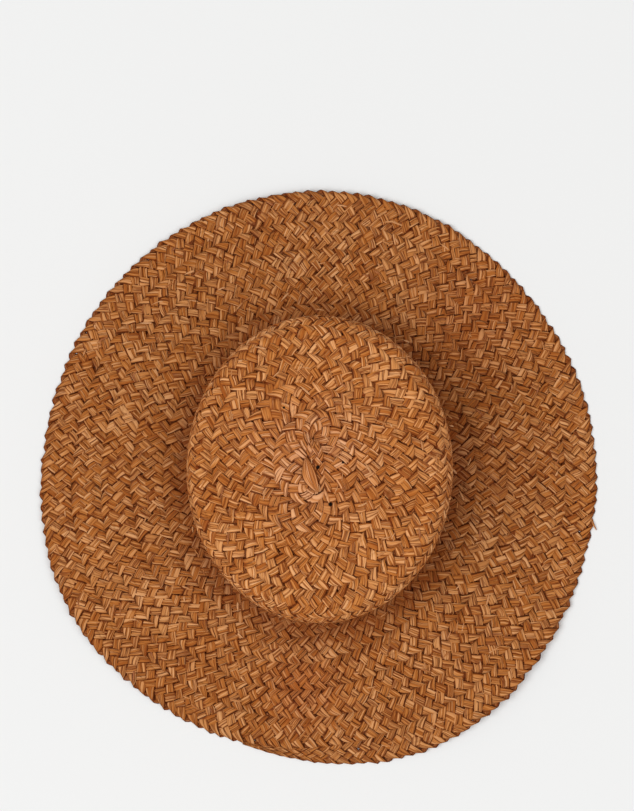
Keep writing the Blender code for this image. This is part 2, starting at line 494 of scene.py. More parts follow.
def strip_across(strip, end, up):
    """How far across its strand a corner of a strip lies, from -1 to 1. Up is 1 on its upper side."""
    bevel = strip["bevel_down"] + (strip["bevel_up"] - strip["bevel_down"]) * up
    share = end + (1 - 2 * end) * bevel
    return strip["from"] + (strip["to"] - strip["from"]) * share


def strip_ring(strand, strip, level):
    """The corners of one ring of a strip on the flat plait, each with its place across, shade and depth.

    A ring lies along the plait, so its corners meet the crossing strands at
    other times than its middle does, up to half a crossing early or late.
    At a fold all its corners turn over together, on a slant, so that the brim's
    edge is a row of low teeth, and what was its lower side is its upper one.
    """
    shifted = level - 2 * strand
    along = level * LEVEL_STEP
    offset = across_plait(shifted)
    near = RING_SPREAD / 2
    rise = over_under(shifted + near) - over_under(shifted - near)
    move = across_plait(shifted + near) - across_plait(shifted - near)
    slope = Vector((move, rise))
    slope.normalize()
    away, _ = fold_distance(shifted)
    own_time = smooth(away / FOLD_FLAT)
    narrow = 1 - FOLD_NARROWING * (1 - smooth(away / FOLD_REACH))
    half_width = (LEVEL_STEP - STRAND_GAP) * narrow
    slant = FOLD_SLANT * (1 - smooth(away))
    corners = []
    for corner in RING_CORNERS:
        facing = corner["side"] * slope.x
        up = (1 + facing) / 2
        across = strip_across(strip, corner["end"], up)
        thick = corner["side"] * STRIP_THICKNESS / 2
        early = across / 2 * narrow
        lift = own_time * over_under(shifted + early) + (1 - own_time) * over_under(shifted)
        point = (
            along + across * half_width,
            offset - slope.y * thick - slant * across,
            lift + strip["raised"] + slope.x * thick,
        )
        shade = strip["shade_down"] + (strip["shade_up"] - strip["shade_down"]) * up
        corners.append({"point": point, "across": across, "edge_shade": shade, "buried": -lift * facing})
    return corners


def tube_faces(first, rings, around):
    """The side faces of a tube whose rings of points follow on from the first point."""
    faces = []
    for ring in range(rings - 1):
        for corner in range(around):
            after = (corner + 1) % around
            start = first + ring * around
            faces.append((start + corner, start + around + corner, start + around + after, start + after))
    return faces


def mesh_with_facts(name, points, faces, facts):
    """A mesh that stores a number on each of its points for every fact."""
    mesh = bpy.data.meshes.new(name)
    mesh.from_pydata(points, [], faces)
    for fact, values in facts.items():
        mesh.attributes.new(fact, "FLOAT", "POINT").data.foreach_set("value", values)
    return mesh


REPEAT_FACTS = ("ring_along", "strand", "strip", "level", "across", "edge_shade", "buried", "seam_near")


def repeat_mesh(name):
    """One repeat of all five strands, with what the winder and the finish need on each point."""
    levels = ring_levels()
    points = []
    faces = []
    facts = {fact: [] for fact in REPEAT_FACTS}
    for strand in range(STRANDS):
        for number, strip in enumerate(STRIPS):
            faces += tube_faces(len(points), len(levels), len(RING_CORNERS))
            for level in levels:
                for corner in strip_ring(strand, strip, level):
                    points.append(corner["point"])
                    facts["ring_along"].append(level * LEVEL_STEP)
                    facts["strand"].append(strand)
                    facts["strip"].append(number)
                    facts["level"].append(level)
                    for fact in ("across", "edge_shade", "buried"):
                        facts[fact].append(corner[fact])
                    facts["seam_near"].append(1 - fold_distance(level - 2 * strand)[0])
    return mesh_with_facts(name, points, faces, facts)


ONE_REPEAT = put_in_scene("one_repeat", repeat_mesh("one_repeat"))
print("one repeat:", len(ONE_REPEAT.data.polygons), "faces")

# %% [markdown]
# ## Winding the plait with Geometry Nodes
#
# The tree sets the repeat down again and again in a straight line, as a flat
# plait. It then changes each strand a little, because no two are alike: its
# width, its place and its tilt follow a noise with a fixed seed. Last, it finds
# each point's place on the ribbon and lifts it off by its height.


# %% Small helpers for node trees
def add(tree, kind, **settings):
    """A node of that kind with its settings."""
    node = tree.nodes.new(kind)
    for name, value in settings.items():
        setattr(node, name, value)
    return node


def feed(tree, socket, value):
    """Links an output to a socket, or sets a constant on it."""
    if isinstance(value, bpy.types.NodeSocket):
        tree.links.new(value, socket)
    else:
        socket.default_value = value


def sum_up(tree, operation, *values):
    """A Math node's result."""
    node = add(tree, "ShaderNodeMath", operation=operation)
    for socket, value in zip(node.inputs, values):
        feed(tree, socket, value)
    return node.outputs[0]


def three(tree, *values):
    """Three values as one vector."""
    node = add(tree, "ShaderNodeCombineXYZ")
    for socket, value in zip(node.inputs, values):
        feed(tree, socket, value)
    return node.outputs[0]


def split_up(tree, vector):
    """The three values of a vector."""
    node = add(tree, "ShaderNodeSeparateXYZ")
    tree.links.new(vector, node.inputs[0])
    return node.outputs


def named(tree, name, data_type="FLOAT"):
    """An attribute by its name, in a geometry tree."""
    node = add(tree, "GeometryNodeInputNamedAttribute", data_type=data_type)
    node.inputs["Name"].default_value = name
    return node.outputs["Attribute"]


def centred_noise(tree, place):
    """Three channels of smooth noise round zero."""
    noise = add(tree, "ShaderNodeTexNoise", noise_dimensions="3D")
    feed(tree, noise.inputs["Vector"], place)
    noise.inputs["Scale"].default_value = 1.0
    noise.inputs["Detail"].default_value = 1.0
    return [sum_up(tree, "SUBTRACT", channel, 0.5) for channel in split_up(tree, noise.outputs["Color"])]


def store(tree, geometry, name, value, data_type="FLOAT", domain="POINT"):
    """The geometry with a value stored on it."""
    node = add(tree, "GeometryNodeStoreNamedAttribute", data_type=data_type, domain=domain)
    tree.links.new(geometry, node.inputs["Geometry"])
    node.inputs["Name"].default_value = name
    feed(tree, node.inputs["Value"], value)
    return node.outputs["Geometry"]


# %% The tree's inputs
WINDER_INPUTS = (
    {"name": "One Repeat", "kind": "NodeSocketObject"},
    {"name": "Repeats", "kind": "NodeSocketInt"},
    {"name": "First Repeat", "kind": "NodeSocketInt"},
    {"name": "Repeat Length", "kind": "NodeSocketFloat"},
    {"name": "Guide From", "kind": "NodeSocketFloat"},
    {"name": "Guide Length", "kind": "NodeSocketFloat"},
    {"name": "Plait Width", "kind": "NodeSocketFloat"},
    {"name": "Guide Margin", "kind": "NodeSocketFloat"},
    {"name": "Level Length", "kind": "NodeSocketFloat"},
    {"name": "Change Every", "kind": "NodeSocketFloat"},
    {"name": "Width Change", "kind": "NodeSocketFloat"},
    {"name": "Place Change", "kind": "NodeSocketFloat"},
    {"name": "Turn Change", "kind": "NodeSocketFloat"},
    {"name": "Split Change", "kind": "NodeSocketFloat"},
    {"name": "Strip Change", "kind": "NodeSocketFloat"},
    {"name": "Lift Change", "kind": "NodeSocketFloat"},
    {"name": "Tilt Change", "kind": "NodeSocketFloat"},
    {"name": "Seed", "kind": "NodeSocketFloat"},
    {"name": "Straw", "kind": "NodeSocketMaterial"},
)


def new_tree(name, inputs):
    """An empty geometry tree with a geometry going in and out, and the named inputs."""
    tree = bpy.data.node_groups.new(name, "GeometryNodeTree")
    tree.interface.new_socket("Geometry", in_out="INPUT", socket_type="NodeSocketGeometry")
    for row in inputs:
        tree.interface.new_socket(row["name"], in_out="INPUT", socket_type=row["kind"])
    tree.interface.new_socket("Geometry", in_out="OUTPUT", socket_type="NodeSocketGeometry")
    return tree, add(tree, "NodeGroupInput").outputs


# %% The flat plait
def flat_plait(tree, given):
    """Repeats in a straight line, as real geometry, with the number of each repeat stored on it."""
    line = add(tree, "GeometryNodeMeshLine", mode="OFFSET", count_mode="TOTAL")
    tree.links.new(given["Repeats"], line.inputs["Count"])
    start = sum_up(tree, "MULTIPLY", given["First Repeat"], given["Repeat Length"])
    tree.links.new(three(tree, start, 0.0, 0.0), line.inputs["Start Location"])
    tree.links.new(three(tree, given["Repeat Length"], 0.0, 0.0), line.inputs["Offset"])
    index = add(tree, "GeometryNodeInputIndex").outputs[0]
    number = sum_up(tree, "ADD", index, given["First Repeat"])
    numbered = store(tree, line.outputs["Mesh"], "repeat", number)
    source = add(tree, "GeometryNodeObjectInfo", transform_space="ORIGINAL")
    tree.links.new(given["One Repeat"], source.inputs["Object"])
    place = add(tree, "GeometryNodeInstanceOnPoints")
    tree.links.new(numbered, place.inputs["Points"])
    tree.links.new(source.outputs["Geometry"], place.inputs["Instance"])
    real = add(tree, "GeometryNodeRealizeInstances")
    tree.links.new(place.outputs["Instances"], real.inputs["Geometry"])
    return real.outputs["Geometry"]


# %% Each strand and strip a little different
RIBBON_SKIN = 0.00002
STRAND_APART = 11.7
STRIP_APART = 5.3
SECOND_NOISE = 40.0
THIRD_NOISE = 80.0
SPLIT_LIMIT = 0.0017


def three_noises(tree, given, ring):
    """Noise along each strand, again with another seed, and along each strip."""
    along = sum_up(tree, "DIVIDE", ring, given["Change Every"])
    strand = sum_up(tree, "MULTIPLY", named(tree, "strand"), STRAND_APART)
    strip = sum_up(tree, "MULTIPLY_ADD", named(tree, "strip"), STRIP_APART, strand)
    first = centred_noise(tree, three(tree, along, strand, given["Seed"]))
    more = sum_up(tree, "ADD", given["Seed"], SECOND_NOISE)
    second = centred_noise(tree, three(tree, along, strand, more))
    most = sum_up(tree, "ADD", given["Seed"], THIRD_NOISE)
    third = centred_noise(tree, three(tree, along, strip, most))
    return first, second, third


def moved_split(tree, given, noise):
    """How far a point moves along the plait because the split between the strips wanders."""
    wander = sum_up(tree, "MULTIPLY", noise, given["Split Change"])
    wander = sum_up(tree, "MAXIMUM", sum_up(tree, "MINIMUM", wander, SPLIT_LIMIT), -SPLIT_LIMIT)
    across = named(tree, "across")
    inside = sum_up(tree, "SUBTRACT", 1.0, sum_up(tree, "MULTIPLY", across, across))
    return sum_up(tree, "MULTIPLY", wander, inside)


def changed_place(tree, given):
    """Each point's distance along the plait, across it and up, after the changes."""
    x, y, z = split_up(tree, add(tree, "GeometryNodeInputPosition").outputs[0])
    repeat_start = sum_up(tree, "MULTIPLY", named(tree, "repeat"), given["Repeat Length"])
    ring = sum_up(tree, "ADD", repeat_start, named(tree, "ring_along"))
    first, second, third = three_noises(tree, given, ring)
    from_ring = sum_up(tree, "SUBTRACT", x, ring)
    wider = sum_up(tree, "MULTIPLY_ADD", first[0], given["Width Change"], 1.0)
    moved = sum_up(tree, "MULTIPLY_ADD", first[1], given["Place Change"], ring)
    moved = sum_up(tree, "MULTIPLY_ADD", third[0], given["Strip Change"], moved)
    moved = sum_up(tree, "ADD", moved, moved_split(tree, given, second[0]))
    along = sum_up(tree, "MULTIPLY_ADD", from_ring, wider, moved)
    across = sum_up(tree, "MULTIPLY_ADD", first[2], given["Place Change"], y)
    turn = sum_up(tree, "MULTIPLY", second[1], given["Turn Change"])
    across = sum_up(tree, "MULTIPLY_ADD", turn, from_ring, across)
    raised = sum_up(tree, "MULTIPLY_ADD", third[1], given["Lift Change"], z)
    tilt = sum_up(tree, "MULTIPLY", third[2], given["Tilt Change"])
    up = sum_up(tree, "MULTIPLY_ADD", tilt, from_ring, raised)
    return along, across, up


def off_floor(tree, place):
    """A place that is never below the floor."""
    above = add(tree, "ShaderNodeVectorMath", operation="MAXIMUM")
    tree.links.new(place, above.inputs[0])
    above.inputs[1].default_value = (-1.0, -1.0, 0.0)
    return above.outputs[0]


def kept_inside(tree, share):
    """A share kept just inside the ribbon, so that its place there can always be found."""
    return sum_up(tree, "MINIMUM", sum_up(tree, "MAXIMUM", share, RIBBON_SKIN), 1 - RIBBON_SKIN)


def scaled(tree, vector, scale):
    """A vector, or a colour, times a number."""
    node = add(tree, "ShaderNodeVectorMath", operation="SCALE")
    tree.links.new(vector, node.inputs[0])
    tree.links.new(scale, node.inputs["Scale"])
    return node.outputs[0]


def ribbon_place(tree, given, along, across):
    """The place on the ribbon's own map for a distance along the plait and one across it."""
    from_start = sum_up(tree, "SUBTRACT", along, given["Guide From"])
    along_share = sum_up(tree, "DIVIDE", from_start, given["Guide Length"])
    plait_share = sum_up(tree, "DIVIDE", across, given["Plait Width"])
    inside = sum_up(tree, "ADD", sum_up(tree, "ADD", plait_share, 0.5), given["Guide Margin"])
    whole = sum_up(tree, "MULTIPLY_ADD", given["Guide Margin"], 2.0, 1.0)
    across_share = sum_up(tree, "DIVIDE", inside, whole)
    return three(tree, kept_inside(tree, along_share), kept_inside(tree, across_share), 0.0)


def read_ribbon(tree, given, sought, value):
    """What the ribbon has, as a vector, at a place on its map."""
    sample = add(tree, "GeometryNodeSampleUVSurface", data_type="FLOAT_VECTOR")
    tree.links.new(given["Geometry"], sample.inputs["Mesh"])
    tree.links.new(value, sample.inputs["Value"])
    tree.links.new(named(tree, "plait_place", "FLOAT_VECTOR"), sample.inputs["Source UV Map"])
    tree.links.new(sought, sample.inputs["Sample UV"])
    return sample.outputs["Value"]


def on_ribbon(tree, given, flat):
    """The flat plait laid on the ribbon: each point goes to its place there, and off it by its height."""
    along, across, up = changed_place(tree, given)
    sought = ribbon_place(tree, given, along, across)
    here = read_ribbon(tree, given, sought, add(tree, "GeometryNodeInputPosition").outputs[0])
    outwards = read_ribbon(tree, given, sought, named(tree, "outward", "FLOAT_VECTOR"))
    together = add(tree, "ShaderNodeVectorMath", operation="ADD")
    tree.links.new(here, together.inputs[0])
    tree.links.new(scaled(tree, outwards, up), together.inputs[1])
    laid = add(tree, "GeometryNodeSetPosition")
    tree.links.new(flat, laid.inputs["Geometry"])
    tree.links.new(off_floor(tree, together.outputs[0]), laid.inputs["Position"])
    return laid.outputs["Geometry"]


# %% What the finish needs to know
STRIP_SHARE = 0.5


def chance(tree, *values):
    """Three random numbers that stay the same for the same three values."""
    noise = add(tree, "ShaderNodeTexWhiteNoise", noise_dimensions="3D")
    tree.links.new(three(tree, *values), noise.inputs["Vector"])
    return split_up(tree, noise.outputs["Color"])


def finish_facts(tree, given, geometry):
    """Stores the fibre map, and a tone and a tint for each pass of a strip from edge to edge."""
    level = sum_up(tree, "MULTIPLY_ADD", named(tree, "repeat"), float(CROSSINGS), named(tree, "level"))
    strand_level = sum_up(tree, "MULTIPLY_ADD", named(tree, "strand"), -2.0, level)
    passes = sum_up(tree, "FLOOR", sum_up(tree, "DIVIDE", strand_level, float(STRANDS)))
    strip = sum_up(tree, "MULTIPLY_ADD", named(tree, "strip"), STRIP_APART, named(tree, "strand"))
    of_strand = chance(tree, passes, named(tree, "strand"), given["Seed"])
    of_strip = chance(tree, passes, strip, given["Seed"])
    own = sum_up(tree, "MULTIPLY", of_strip[0], STRIP_SHARE)
    tone = sum_up(tree, "MULTIPLY_ADD", of_strand[0], 1 - STRIP_SHARE, own)
    along = sum_up(tree, "MULTIPLY", level, given["Level Length"])
    geometry = store(tree, geometry, "along", along)
    geometry = store(tree, geometry, "tone", tone)
    geometry = store(tree, geometry, "tint", of_strand[1])
    return store(tree, geometry, "pass_seed", of_strip[2])


# %% The whole tree
WELD_DISTANCE = 0.000002


def end_tree(tree, given, geometry):
    """Ends a tree with Set Material and its output."""
    finish = add(tree, "GeometryNodeSetMaterial")
    tree.links.new(geometry, finish.inputs["Geometry"])
    tree.links.new(given["Straw"], finish.inputs["Material"])
    tree.links.new(finish.outputs["Geometry"], add(tree, "NodeGroupOutput").inputs["Geometry"])


def make_winder():
    """The winder: flat plait, ribbon, facts, weld, and at its end Realize Instances and Set Material."""
    tree, given = new_tree("plait_winder", WINDER_INPUTS)
    geometry = on_ribbon(tree, given, flat_plait(tree, given))
    geometry = finish_facts(tree, given, geometry)
    weld = add(tree, "GeometryNodeMergeByDistance")
    tree.links.new(geometry, weld.inputs["Geometry"])
    weld.inputs["Distance"].default_value = WELD_DISTANCE
    soften = add(tree, "GeometryNodeSetShadeSmooth")
    tree.links.new(weld.outputs[0], soften.inputs["Geometry"])
    real = add(tree, "GeometryNodeRealizeInstances")
    tree.links.new(soften.outputs[0], real.inputs["Geometry"])
    end_tree(tree, given, real.outputs["Geometry"])
    return tree


WINDER = make_winder()
print("winder nodes:", len(WINDER.nodes))

# %% [markdown]
# ## The straw's finish
#
# Each strand is a strip of dried leaf. Seen close, it has fine fibres along its
# length, a few darker grooves between them, and here and there a crease where
# the strip is folded lengthwise. Its tone changes from strip to strip, from
# deep brown through orange to a pale, rather pink tan. The fibres follow the
# strip, so the pattern reads the distance along it and across it that the
# winding stored, and not the place in space.

# %% Fibres along a strip
FIBRE_OUTPUTS = ("Fibres", "Grooves", "Crease", "Height")
FIBRE_INPUTS = ("Along", "Across", "Seed")


def new_group(name, inputs, outputs):
    """An empty shader node group with float sockets."""
    tree = bpy.data.node_groups.new(name, "ShaderNodeTree")
    for socket in inputs:
        tree.interface.new_socket(socket, in_out="INPUT", socket_type="NodeSocketFloat")
    for socket in outputs:
        tree.interface.new_socket(socket, in_out="OUTPUT", socket_type="NodeSocketFloat")
    return tree, add(tree, "NodeGroupInput").outputs, add(tree, "NodeGroupOutput").inputs


STREAKS = {
    "fibres": {"along_per_m": 60.0, "across_per_m": 1900.0, "shift": 0.0},
    "grooves": {"along_per_m": 22.0, "across_per_m": 620.0, "shift": 13.0},
    "crease place": {"along_per_m": 30.0, "across_per_m": 0.0, "shift": 27.0},
    "crease strength": {"along_per_m": 45.0, "across_per_m": 0.0, "shift": 41.0},
}
SEED_STEP = 50.0
STREAK_DETAIL = 2.0


def streaks(tree, given, name):
    """Noise stretched along the strip, as fine as its row says."""
    row = STREAKS[name]
    place = three(
        tree,
        sum_up(tree, "MULTIPLY", given["Along"], row["along_per_m"]),
        sum_up(tree, "MULTIPLY", given["Across"], row["across_per_m"]),
        sum_up(tree, "MULTIPLY_ADD", given["Seed"], SEED_STEP, row["shift"]),
    )
    noise = add(tree, "ShaderNodeTexNoise", noise_dimensions="3D")
    tree.links.new(place, noise.inputs["Vector"])
    noise.inputs["Scale"].default_value = 1.0
    noise.inputs["Detail"].default_value = STREAK_DETAIL
    return noise.outputs["Fac"]


def between(tree, value, low, high, first=0.0, last=1.0):
    """A value mapped smoothly from one range to another."""
    node = add(tree, "ShaderNodeMapRange", interpolation_type="SMOOTHSTEP")
    feed(tree, node.inputs["Value"], value)
    node.inputs["From Min"].default_value = low
    node.inputs["From Max"].default_value = high
    node.inputs["To Min"].default_value = first
    node.inputs["To Max"].default_value = last
    return node.outputs["Result"]


# %% The group of fibres, grooves and crease
STRIP_HALF_WIDTH = 0.0028
GROOVE_HALF_WIDTH = 0.06
GROOVE_DEPTH = 0.5
CREASE_HALF_WIDTH = 0.00035
CREASE_WANDER = 5.0 * STRIP_HALF_WIDTH
CREASE_FROM = 0.42
CREASE_FULL = 0.52
CREASE_DEPTH = 0.8


def crease_line(tree, given):
    """A lengthwise crease that wanders across the strip, and comes and goes."""
    wander = sum_up(tree, "SUBTRACT", streaks(tree, given, "crease place"), 0.5)
    middle_line = sum_up(tree, "MULTIPLY", wander, CREASE_WANDER)
    beside = sum_up(tree, "ABSOLUTE", sum_up(tree, "SUBTRACT", given["Across"], middle_line))
    line = between(tree, beside, 0.0, CREASE_HALF_WIDTH, 1.0, 0.0)
    there = between(tree, streaks(tree, given, "crease strength"), CREASE_FROM, CREASE_FULL)
    return sum_up(tree, "MULTIPLY", line, there)


def make_fibres():
    """The group: fine fibres, wider grooves, one crease, and the height of all three."""
    tree, given, out = new_group("straw_fibres", FIBRE_INPUTS, FIBRE_OUTPUTS)
    fine = streaks(tree, given, "fibres")
    coarse = streaks(tree, given, "grooves")
    crease = crease_line(tree, given)
    both = sum_up(tree, "ADD", sum_up(tree, "MULTIPLY", coarse, 0.5), sum_up(tree, "MULTIPLY", fine, 0.5))
    from_line = sum_up(tree, "ABSOLUTE", sum_up(tree, "SUBTRACT", coarse, 0.5))
    grooves = between(tree, from_line, 0.0, GROOVE_HALF_WIDTH, 1.0, 0.0)
    height = sum_up(tree, "MULTIPLY_ADD", grooves, -GROOVE_DEPTH, both)
    height = sum_up(tree, "MULTIPLY_ADD", crease, -CREASE_DEPTH, height)
    for socket, value in zip(FIBRE_OUTPUTS, (both, grooves, crease, height)):
        tree.links.new(value, out[socket])
    return tree


FIBRES = make_fibres()

# %% [markdown]
# ## Straw materials
#
# The strip's tone picks its colour from a short scale of browns, and its fibres
# make it lighter and darker. Painted shade darkens it in the grooves and creases,
# along its split edges, in the places deep in the weave, at the seams and at the
# foot of the crown. The top of the crown is painted brighter, as painted light,
# and it is a little bleached at the core. A few places of the brim are darker:
# the two right of the crown are painted shade of the crown, and the one at the
# front is simply darker. One dark brown mixed in by a share does for all the dark
# places, so they are rows of the same kind.

# %% The scale of browns
STRAW_TONES = (
    {"at": 0.0, "colour": (0.190, 0.036, 0.004)},
    {"at": 0.25, "colour": (0.345, 0.094, 0.014)},
    {"at": 0.5, "colour": (0.470, 0.163, 0.033)},
    {"at": 0.75, "colour": (0.550, 0.220, 0.066)},
    {"at": 1.0, "colour": (0.670, 0.325, 0.135)},
)
SHADE_COLOUR = (0.150, 0.022, 0.001)
PINHOLE_SHADE_COLOUR = (0.004, 0.002, 0.001)
PALE_COLOUR = (0.620, 0.290, 0.105)
DARK_PATCH_COLOUR = (0.84, 0.66, 0.56)
CORE_COLOUR = (1.0, 1.03, 1.3)


def attribute(tree, name):
    """An attribute's value in a material."""
    return add(tree, "ShaderNodeAttribute", attribute_name=name).outputs["Fac"]


def mixed(tree, share, first, second, blend="MIX"):
    """Two colours mixed by a share."""
    node = add(tree, "ShaderNodeMix", data_type="RGBA", blend_type=blend)
    feed(tree, node.inputs["Factor"], share)
    colours = [socket for socket in node.inputs if socket.type == "RGBA"]
    for socket, value in zip(colours, (first, second)):
        feed(tree, socket, value)
    return next(socket for socket in node.outputs if socket.type == "RGBA")


def tone_scale(tree, share, tones):
    """A colour from the scale of tones."""
    ramp = add(tree, "ShaderNodeValToRGB")
    elements = ramp.color_ramp.elements
    for element, tone in zip(elements, (tones[0], tones[-1])):
        element.position = tone["at"]
        element.color = (*tone["colour"], 1.0)
    for tone in tones[1:-1]:
        element = elements.new(tone["at"])
        element.color = (*tone["colour"], 1.0)
    tree.links.new(share, ramp.inputs["Fac"])
    return ramp.outputs["Color"]


# %% Darker patches, painted shade beside the crown, bleaching, painted pinholes and painted light on the crown
# Darker patches on the brim: the right and back right ones are painted shade of the crown; the front one
# is simply darker.
BRIM_DARK_PATCHES = (
    {"name": "front", "x": -0.012, "y": -0.148, "radius": 0.045, "share": 0.8},
    {"name": "right", "x": 0.115, "y": 0.010, "radius": 0.060, "share": 0.35},
    {"name": "back right", "x": 0.105, "y": 0.105, "radius": 0.075, "share": 0.6},
)
# Painted shade: black spots where pinholes show the dark inside of the hat.
PINHOLE_SHADE_SPOTS = (
    {"name": "beside the core leaf", "x": -0.0007, "y": -0.0006, "radius": 0.0017},
    {"name": "front of the core", "x": 0.0073, "y": -0.0244, "radius": 0.0018},
    {"name": "right of the core", "x": 0.0154, "y": 0.0025, "radius": 0.0011},
    {"name": "back left of the core", "x": -0.0226, "y": 0.0379, "radius": 0.0011},
)
CORE_REACH = 0.065
# Painted light: the straw is painted this much brighter at the brim's foot and at the crown's top.
BRIM_BRIGHTNESS = 1.03
CROWN_BRIGHTNESS = 1.2


def on_object(tree):
    """A point's place on the object."""
    return add(tree, "ShaderNodeTexCoord").outputs["Object"]


def distance_to(tree, place, x, y):
    """How far a point is from an upright line, seen from above."""
    here = split_up(tree, place)
    away = add(tree, "ShaderNodeVectorMath", operation="DISTANCE")
    tree.links.new(three(tree, here[0], here[1], 0.0), away.inputs[0])
    away.inputs[1].default_value = (x, y, 0.0)
    return away.outputs["Value"]


def shade_patches_and_bleach(tree, colour):
    """The colour after the darker patches on the brim, two of them painted shade of the crown, the
    bleached core and the pinholes painted black as painted shade.
    """
    place = on_object(tree)
    for row in BRIM_DARK_PATCHES:
        away = distance_to(tree, place, row["x"], row["y"])
        share = between(tree, away, row["radius"], 0.0, 0.0, row["share"])
        colour = mixed(tree, share, colour, (*DARK_PATCH_COLOUR, 1.0), "MULTIPLY")
    from_core = distance_to(tree, place, CORE_SHIFT_X, CORE_SHIFT_Y)
    at_core = between(tree, from_core, CORE_REACH, 0.0)
    colour = mixed(tree, at_core, colour, (*CORE_COLOUR, 1.0), "MULTIPLY")
    # Painted shade: the pinholes are painted black.
    for row in PINHOLE_SHADE_SPOTS:
        away = distance_to(tree, place, row["x"], row["y"])
        hole = between(tree, away, row["radius"], row["radius"] / 2)
        colour = mixed(tree, hole, colour, (*PINHOLE_SHADE_COLOUR, 1.0))
    return colour


def painted_top_light(tree):
    """Painted light: how much brighter the straw is painted towards the top of the crown, where more
    light falls.
    """
    height = split_up(tree, on_object(tree))[2]
    return between(tree, height, BRIM_RISE, CROWN_TOP, BRIM_BRIGHTNESS, CROWN_BRIGHTNESS)


# %% Painted shade at the foot of the crown
FOOT_SHADE_SHARE = 0.55
FOOT_REACH = 1.28
FOOT_TOP = 0.06
FOOT_FULL_TO = 0.3


def foot_shade(tree):
    """How much painted shade darkens where the brim meets the crown, fading out over the brim and up the
    side.
    """
    oval = add(tree, "ShaderNodeMapping", vector_type="TEXTURE")
    tree.links.new(on_object(tree), oval.inputs["Vector"])
    oval.inputs["Location"].default_value = (-HAT_MIDDLE.x, -HAT_MIDDLE.y, 0.0)
    oval.inputs["Scale"].default_value = (CROWN_WIDTH / 2, CROWN_LENGTH / 2, FOOT_TOP)
    place = split_up(tree, oval.outputs["Vector"])
    from_middle = add(tree, "ShaderNodeVectorMath", operation="LENGTH")
    tree.links.new(three(tree, place[0], place[1], 0.0), from_middle.inputs[0])
    near = between(tree, from_middle.outputs["Value"], FOOT_REACH, 1.0, 0.0, FOOT_SHADE_SHARE)
    return sum_up(tree, "MULTIPLY", near, between(tree, place[2], 1.0, FOOT_FULL_TO))


# %% A strip's own colour
FIBRES_FROM = 0.38
FIBRES_TO = 0.62
FIBRE_SHARE = 0.34
TONE_SHARE = 0.3
TONE_MIDDLE = 0.45
PALE_STRIPS = {"reads": "tint", "from": 0.80, "to": 0.98, "share": 0.4}


def share_by(tree, row):
    """How strong an effect is where the straw's stored number lies in a row's range."""
    return between(tree, attribute(tree, row["reads"]), row["from"], row["to"], 0.0, row["share"])


def straw_fibres(tree):
    """The fibre group's outputs, read along and across the strip."""
    fibres = add(tree, "ShaderNodeGroup", node_tree=FIBRES)
    across = sum_up(tree, "MULTIPLY", attribute(tree, "across"), STRIP_HALF_WIDTH)
    values = (attribute(tree, "along"), across, attribute(tree, "pass_seed"))
    for socket, value in zip(FIBRE_INPUTS, values):
        tree.links.new(value, fibres.inputs[socket])
    return fibres.outputs


def strip_colour(tree, fibres):
    """A strip's tone with lighter and darker fibres, and here and there a pale strip."""
    streaked = between(tree, fibres["Fibres"], FIBRES_FROM, FIBRES_TO, -FIBRE_SHARE, FIBRE_SHARE)
    tone = sum_up(tree, "MULTIPLY_ADD", attribute(tree, "tone"), TONE_SHARE, streaked)
    colour = tone_scale(tree, sum_up(tree, "ADD", tone, TONE_MIDDLE), STRAW_TONES)
    return mixed(tree, share_by(tree, PALE_STRIPS), colour, (*PALE_COLOUR, 1.0))


# %% The dark places, all painted shade
# Painted shade in the grooves and creases, along the split edges, deep in the weave and at the seams:
# each mixes in the shade colour by its share.
GROOVE_SHADE_SHARE = 0.78
CREASE_SHADE_SHARE = 0.5
SPLIT_EDGE_SHADE = {"reads": "edge_shade", "from": 0.2, "to": 0.9, "share": 0.85}
DEEP_PLACE_SHADE = {"reads": "buried", "from": -0.0001, "to": 0.0003, "share": 0.6}
BESIDE_SEAM_SHADE = {"reads": "seam_near", "from": 0.1, "to": 0.9, "share": 0.22}
AT_SEAM_SHADE = {"reads": "seam_near", "from": 0.7, "to": 1.0, "share": 0.65}


def shaded(tree, colour, fibres):
    """The colour after all the painted shade that darkens it."""
    shares = (
        sum_up(tree, "MULTIPLY", fibres["Grooves"], GROOVE_SHADE_SHARE),
        sum_up(tree, "MULTIPLY", fibres["Crease"], CREASE_SHADE_SHARE),
        share_by(tree, SPLIT_EDGE_SHADE),
        share_by(tree, DEEP_PLACE_SHADE),
        sum_up(tree, "MAXIMUM", share_by(tree, BESIDE_SEAM_SHADE), share_by(tree, AT_SEAM_SHADE)),
        foot_shade(tree),
    )
    for share in shares:
        colour = mixed(tree, share, colour, (*SHADE_COLOUR, 1.0))
    return colour


# %% The straw
ROUGH_RANGE = {"from": 0.3, "to": 0.7, "dark_fibre": 0.8, "pale_fibre": 0.65}
STRAW_SHINE = 0.12
FIBRE_BUMP = 0.7
FIBRE_RELIEF = 0.00035


def new_material(name):
    """A material with its node tree and its shader."""
    material = bpy.data.materials.new(name)
    material.use_nodes = True
    return material, material.node_tree, material.node_tree.nodes["Principled BSDF"]


def straw_material(name):
    """The plait's straw."""
    material, tree, shader = new_material(name)
    fibres = straw_fibres(tree)
    colour = shade_patches_and_bleach(tree, shaded(tree, strip_colour(tree, fibres), fibres))
    tree.links.new(scaled(tree, colour, painted_top_light(tree)), shader.inputs["Base Color"])
    rough = between(tree, fibres["Fibres"], *ROUGH_RANGE.values())
    tree.links.new(rough, shader.inputs["Roughness"])
    shader.inputs["Specular IOR Level"].default_value = STRAW_SHINE
    bump = add(tree, "ShaderNodeBump")
    bump.inputs["Strength"].default_value = FIBRE_BUMP
    bump.inputs["Distance"].default_value = FIBRE_RELIEF
    tree.links.new(fibres["Height"], bump.inputs["Height"])
    tree.links.new(bump.outputs["Normal"], shader.inputs["Normal"])
    return material


STRAW = straw_material("brown_straw")
print("straw nodes:", len(STRAW.node_tree.nodes))

